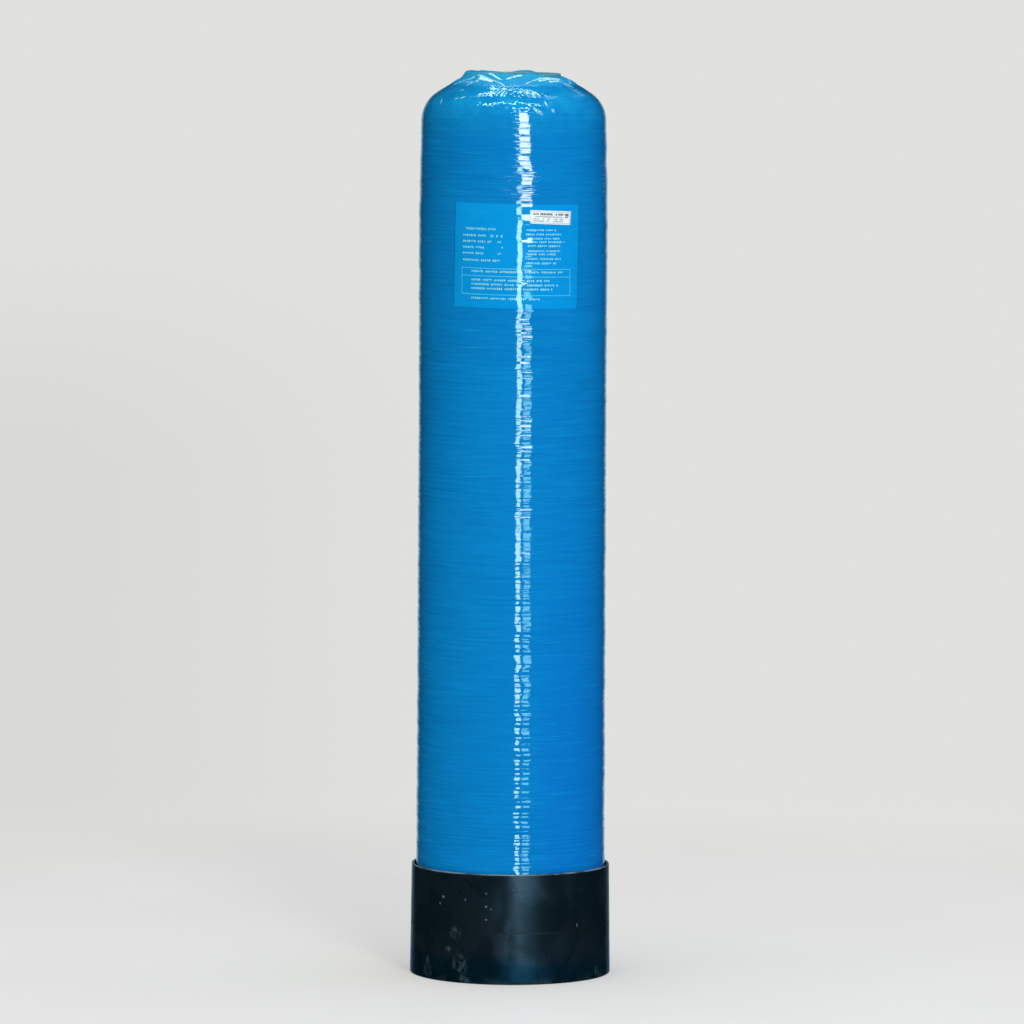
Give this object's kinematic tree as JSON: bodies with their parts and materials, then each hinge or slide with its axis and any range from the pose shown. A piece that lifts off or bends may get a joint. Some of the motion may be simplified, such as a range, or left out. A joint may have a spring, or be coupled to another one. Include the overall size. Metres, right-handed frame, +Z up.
{
  "type": "pressure tank",
  "caption": "Filament-wound composite pressure vessel with domed ends and a threaded top opening, standing in a moulded cup base, for softened or filtered water.",
  "frame": {"origin": "centre of the base's underside, on the floor, on the vessel's axis", "axes": "+Z up along the vessel's axis; the printed label faces -Y, so +X is to the right of a viewer who faces the label"},
  "size_m": [0.2228, 0.2228, 1],
  "materials": {
    "frp_shell": "glossy resin over wound glass fibre, blue",
    "pe_liner": "natural polyethylene, waxy",
    "inlet_boss": "moulded, satin, blue",
    "base": "moulded, satin, black",
    "base_adhesive": "set glue, dull",
    "data_label": null,
    "sticker": null
  },
  "bodies": {
    "root": {"frp_shell": "frp_shell", "pe_liner": "pe_liner", "inlet_boss": "inlet_boss", "base": "base", "base_adhesive": "base_adhesive", "data_label": "data_label", "sticker": "sticker"}
  },
  "joints": []
}
